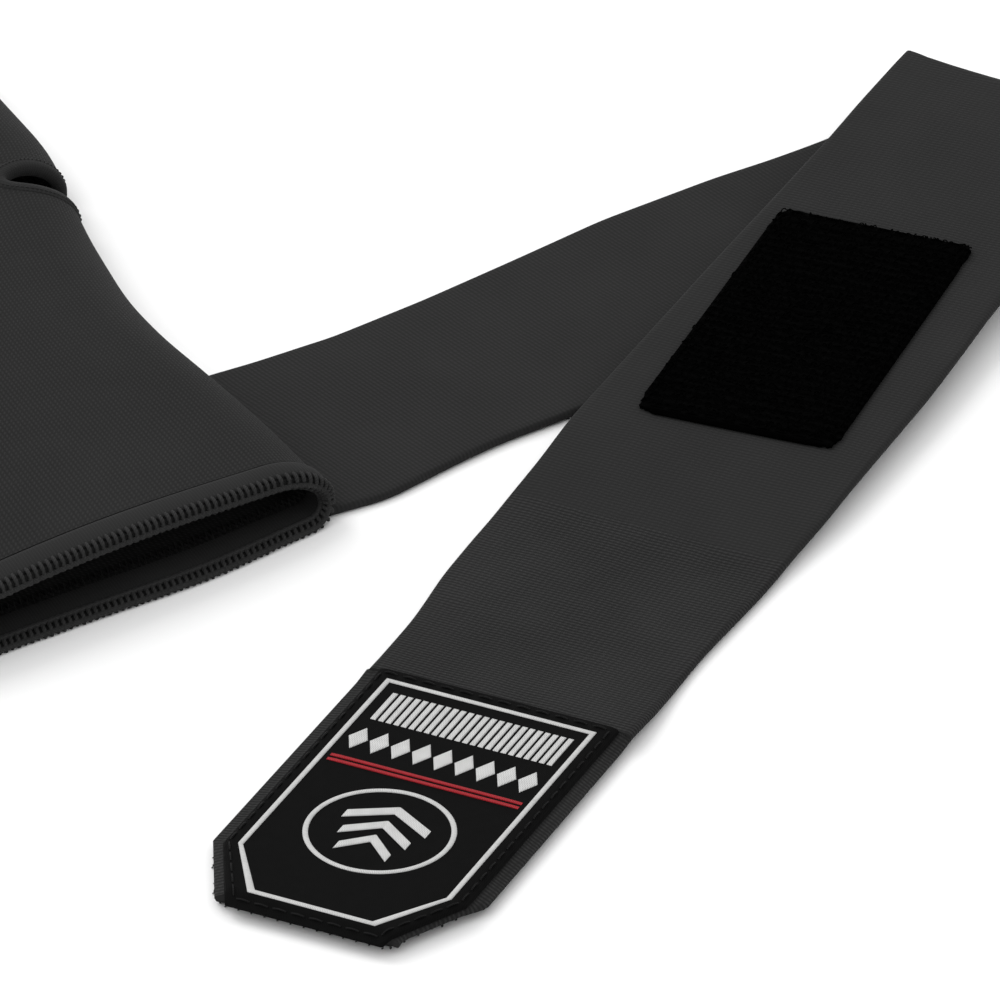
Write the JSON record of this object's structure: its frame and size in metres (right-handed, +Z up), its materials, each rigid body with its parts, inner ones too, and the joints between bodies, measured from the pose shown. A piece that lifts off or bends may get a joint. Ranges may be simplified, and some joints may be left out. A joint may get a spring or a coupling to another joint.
{
  "type": "hand wrap",
  "caption": "Fingerless elastic hand-wrap glove with knuckle padding, thumb hole and a long wrist strap with a hook-and-loop closure tab, laid flat.",
  "frame": {"origin": "middle of the palm panel's flat underside, half way between cuff and finger edge", "axes": "+Y from the cuff to the fingers, +X to the thumb side where the strap leaves, +Z up from the surface it lies on"},
  "size_m": [0.27, 0.2847, 0.0166],
  "materials": {
    "knit": "charcoal elastic knit",
    "hem": "folded elastic knit",
    "overlock_thread": "charcoal overlock thread",
    "pad_cover": "smooth stretch knit",
    "gel": "soft gel, sealed inside the pad",
    "strap_elastic": "charcoal elastic webbing",
    "strap_thread": "black sewing thread",
    "loop_pile": "deep black loop pile",
    "hook_tape": "black nylon hook tape",
    "label_ground": "black satin-woven label",
    "label_white": "silver-grey label thread",
    "label_red": "red label thread"
  },
  "bodies": {
    "glove": {"finger_divider_1": "hem", "finger_divider_2": "hem", "finger_divider_3": "hem", "palm_cuff_hem": "hem", "palm_cuff_overlock": "overlock_thread", "palm_finger_hem": "hem", "palm_panel": "knit", "palm_thumb_hem": "hem", "side_seam_little_finger": "hem", "side_seam_thumb": "hem", "strap_root": "strap_elastic", "strap_root_stitching": "strap_thread"},
    "glove_back": {"back_cuff_hem": "hem", "back_cuff_overlock": "overlock_thread", "back_finger_hem": "hem", "back_panel": "knit", "back_thumb_hem": "hem", "gel_pad": "gel", "knuckle_pad_cover": "pad_cover", "knuckle_pad_seam": "hem"},
    "strap_lower": {"strap_loop": "strap_elastic", "strap_lower_run": "strap_elastic"},
    "strap_upper": {"loop_patch": "loop_pile", "loop_patch_stitching": "strap_thread", "strap_upper_run": "strap_elastic"},
    "strap_end": {"strap_end_run": "strap_elastic"},
    "closure_tab": {"closure_tab": "strap_elastic", "hook_tape": "hook_tape", "label": "label_ground", "label_border": "label_white", "label_chevrons": "label_white", "label_double_line": "label_red", "label_lozenges": "label_white", "label_ring": "label_white", "label_stitching": "label_ground", "label_striped_bar": "label_white"}
  },
  "joints": [
    {"name": "cuff_opening", "type": "hinge", "parent": "glove", "child": "glove_back", "pos_m": [0, 0.085, 0.004], "axis": [-1, 0, 0], "range_deg": [0, 10]},
    {"name": "strap_lift", "type": "hinge", "parent": "glove", "child": "strap_lower", "pos_m": [0.052, -0.0492, 0.0016], "axis": [0.2079, -0.9781, 0], "range_deg": [0, 75]},
    {"name": "loop_opening", "type": "hinge", "parent": "strap_lower", "child": "strap_upper", "pos_m": [0.20685, -0.01131, 0.008], "axis": [-0.4293, 0.9031, 0], "range_deg": [0, 45]},
    {"name": "strap_end_lift", "type": "hinge", "parent": "strap_upper", "child": "strap_end", "pos_m": [0.07835, -0.11482, 0.0016], "axis": [-0.6273, 0.7788, 0], "range_deg": [0, 95]},
    {"name": "tab_peel", "type": "hinge", "parent": "strap_end", "child": "closure_tab", "pos_m": [0.04486, -0.14179, 0.0032], "axis": [-0.6273, 0.7788, 0], "range_deg": [0, 85]}
  ],
  "couplings": [
    {"joint": "loop_opening", "follows": "strap_lift", "ratio": 0.6}
  ]
}
